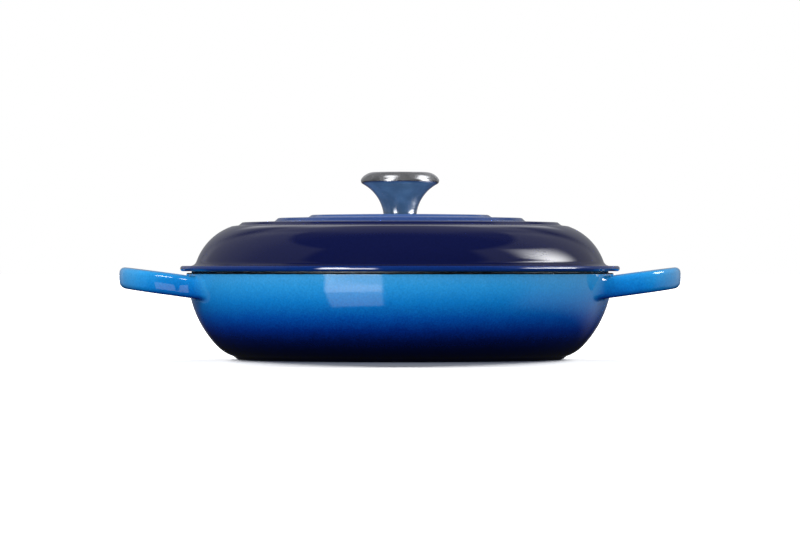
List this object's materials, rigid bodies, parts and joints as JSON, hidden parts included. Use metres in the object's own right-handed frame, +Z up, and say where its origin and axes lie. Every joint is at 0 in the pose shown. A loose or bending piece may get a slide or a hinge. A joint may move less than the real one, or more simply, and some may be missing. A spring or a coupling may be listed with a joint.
{
  "type": "covered braiser",
  "caption": "Low round cast-iron braiser with loop handles, a domed lid with ring steps and a flared steel knob, enamelled in a blue fade.",
  "frame": {"origin": "centre of the foot ring on the surface that the pan stands on", "axes": "+Z up along the axis of the pan and knob, +X towards one loop handle, the other handle towards -X"},
  "size_m": [0.3996, 0.3124, 0.1332],
  "materials": {
    "pan_enamel": "gloss vitreous enamel over cast iron, light blue at the rim fading to dark navy at the base",
    "lid_enamel": "gloss vitreous enamel over cast iron, mid blue round the knob fading to navy at the edge",
    "knob_steel": "satin polished stainless steel",
    "fixing_steel": "bright turned stainless steel"
  },
  "bodies": {
    "pan_body": {"pan": "pan_enamel"},
    "lid_body": {"lid": "lid_enamel", "knob_shell": "knob_steel", "knob_cap": "knob_steel", "knob_bush": "fixing_steel", "lid_washer": "fixing_steel", "lid_screw": "fixing_steel"}
  },
  "joints": [
    {"name": "lid_lift", "type": "slide", "parent": "pan_body", "child": "lid_body", "axis": [0, 0, 1], "range_m": [0, 0.2]}
  ]
}
